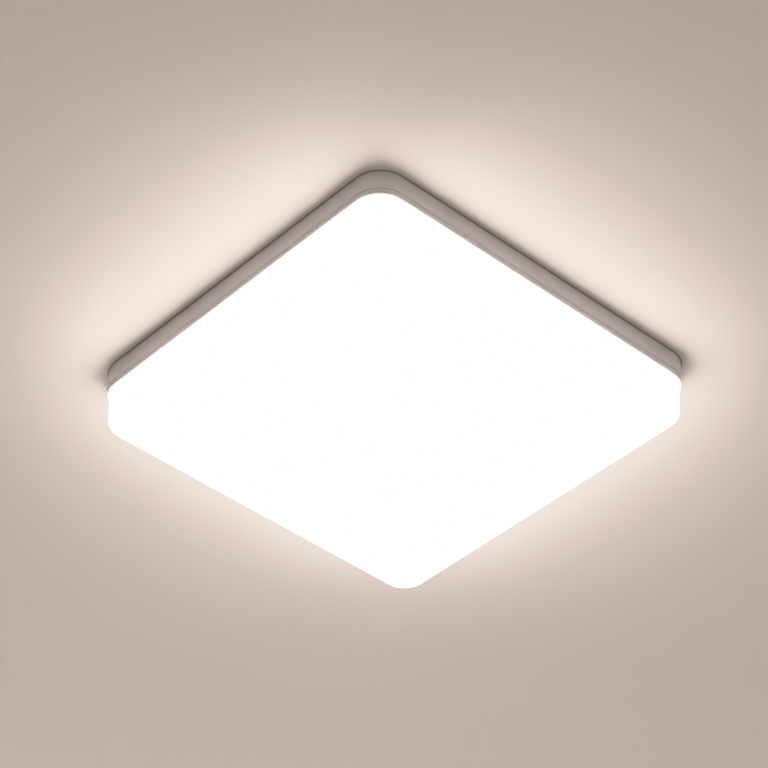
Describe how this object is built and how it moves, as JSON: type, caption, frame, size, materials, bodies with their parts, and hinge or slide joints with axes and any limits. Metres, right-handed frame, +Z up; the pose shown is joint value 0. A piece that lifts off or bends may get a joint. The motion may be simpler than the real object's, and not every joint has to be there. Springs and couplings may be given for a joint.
{
  "type": "led ceiling light",
  "caption": "Square surface-mounted LED ceiling light with rounded corners, a grey base ring and a pull-off opal shade, over light strips, a driver and a supply terminal.",
  "frame": {"origin": "centre of the lamp's outline on the face that meets the ceiling", "axes": "+Z up into the ceiling, +X and +Y along the sides, with the mounting slots on X"},
  "size_m": [0.3, 0.3, 0.047],
  "materials": {
    "grey_moulding": "warm grey satin moulded plastic",
    "pale_moulding": "pale grey moulded plastic",
    "opal_shell": "opal white, lit from inside",
    "black_rubber": "matt black rubber",
    "soft_seal": "matt silicone",
    "spring_steel": "bright spring steel",
    "zinc_screw": "bright zinc plated",
    "white_plate": "matt white coating",
    "strip_board": "white solder mask on aluminium",
    "emitter": "yellow phosphor",
    "clear_lens": "clear moulded lens",
    "nylon": "natural white nylon",
    "red_insulation": "red insulation",
    "black_insulation": "black insulation",
    "brown_insulation": "brown insulation",
    "blue_insulation": "blue insulation",
    "green_yellow_insulation": "green and yellow insulation",
    "driver_shell": "white moulded plastic",
    "circuit_board": "green solder mask",
    "ferrite": "dark ferrite",
    "capacitor_sleeve": "dark shrink sleeve",
    "chip_body": "dark moulded resin",
    "fuse_body": "pale ceramic with plated caps",
    "terminal_body": "pale grey nylon",
    "button_orange": "orange moulded plastic",
    "tinned_copper": "tin plated"
  },
  "bodies": {
    "base": {"base_ring": "grey_moulding", "back_plate": "pale_moulding", "pillars": "pale_moulding", "clip_rivets": "zinc_screw", "cable_grommet": "black_rubber", "seal_ring": "soft_seal", "cover_clips": "spring_steel", "led_plate": "white_plate", "plate_screws": "zinc_screw", "led_strip_1": "strip_board", "led_strip_2": "strip_board", "led_strip_3": "strip_board", "led_strip_4": "strip_board", "strip_rivets": "nylon", "led_chips": "emitter", "led_lenses": "clear_lens", "strip_connectors": "nylon", "output_connector": "nylon", "link_wires_red": "red_insulation", "link_wires_black": "black_insulation", "output_wire_red": "red_insulation", "output_wire_black": "black_insulation", "driver_case": "driver_shell", "driver_lid": "driver_shell", "driver_board": "circuit_board", "driver_transformer": "ferrite", "driver_capacitors": "capacitor_sleeve", "driver_choke": "ferrite", "driver_chips": "chip_body", "driver_fuse": "fuse_body", "driver_screws": "zinc_screw", "terminal_block": "terminal_body", "terminal_clamps": "spring_steel", "terminal_screw": "zinc_screw", "line_wire": "brown_insulation", "neutral_wire": "blue_insulation", "earth_wire": "green_yellow_insulation", "earth_lug": "tinned_copper", "earth_screw": "zinc_screw"},
    "cover": {"cover_frame": "grey_moulding", "diffuser": "opal_shell"},
    "earth_button": {"terminal_button_earth": "button_orange"},
    "line_button": {"terminal_button_line": "button_orange"},
    "neutral_button": {"terminal_button_neutral": "button_orange"}
  },
  "joints": [
    {"name": "cover_pull", "type": "slide", "parent": "base", "child": "cover", "axis": [0, 0, -1], "range_m": [0, 0.1]},
    {"name": "press_earth", "type": "slide", "parent": "base", "child": "earth_button", "axis": [0, 0, 1], "range_m": [0, 0.0015], "stiffness_N_per_m": 400, "springref_m": -0.002, "deforming": ["terminal_clamps"]},
    {"name": "press_line", "type": "slide", "parent": "base", "child": "line_button", "axis": [0, 0, 1], "range_m": [0, 0.0015], "stiffness_N_per_m": 400, "springref_m": -0.002, "deforming": ["terminal_clamps"]},
    {"name": "press_neutral", "type": "slide", "parent": "base", "child": "neutral_button", "axis": [0, 0, 1], "range_m": [0, 0.0015], "stiffness_N_per_m": 400, "springref_m": -0.002, "deforming": ["terminal_clamps"]}
  ]
}
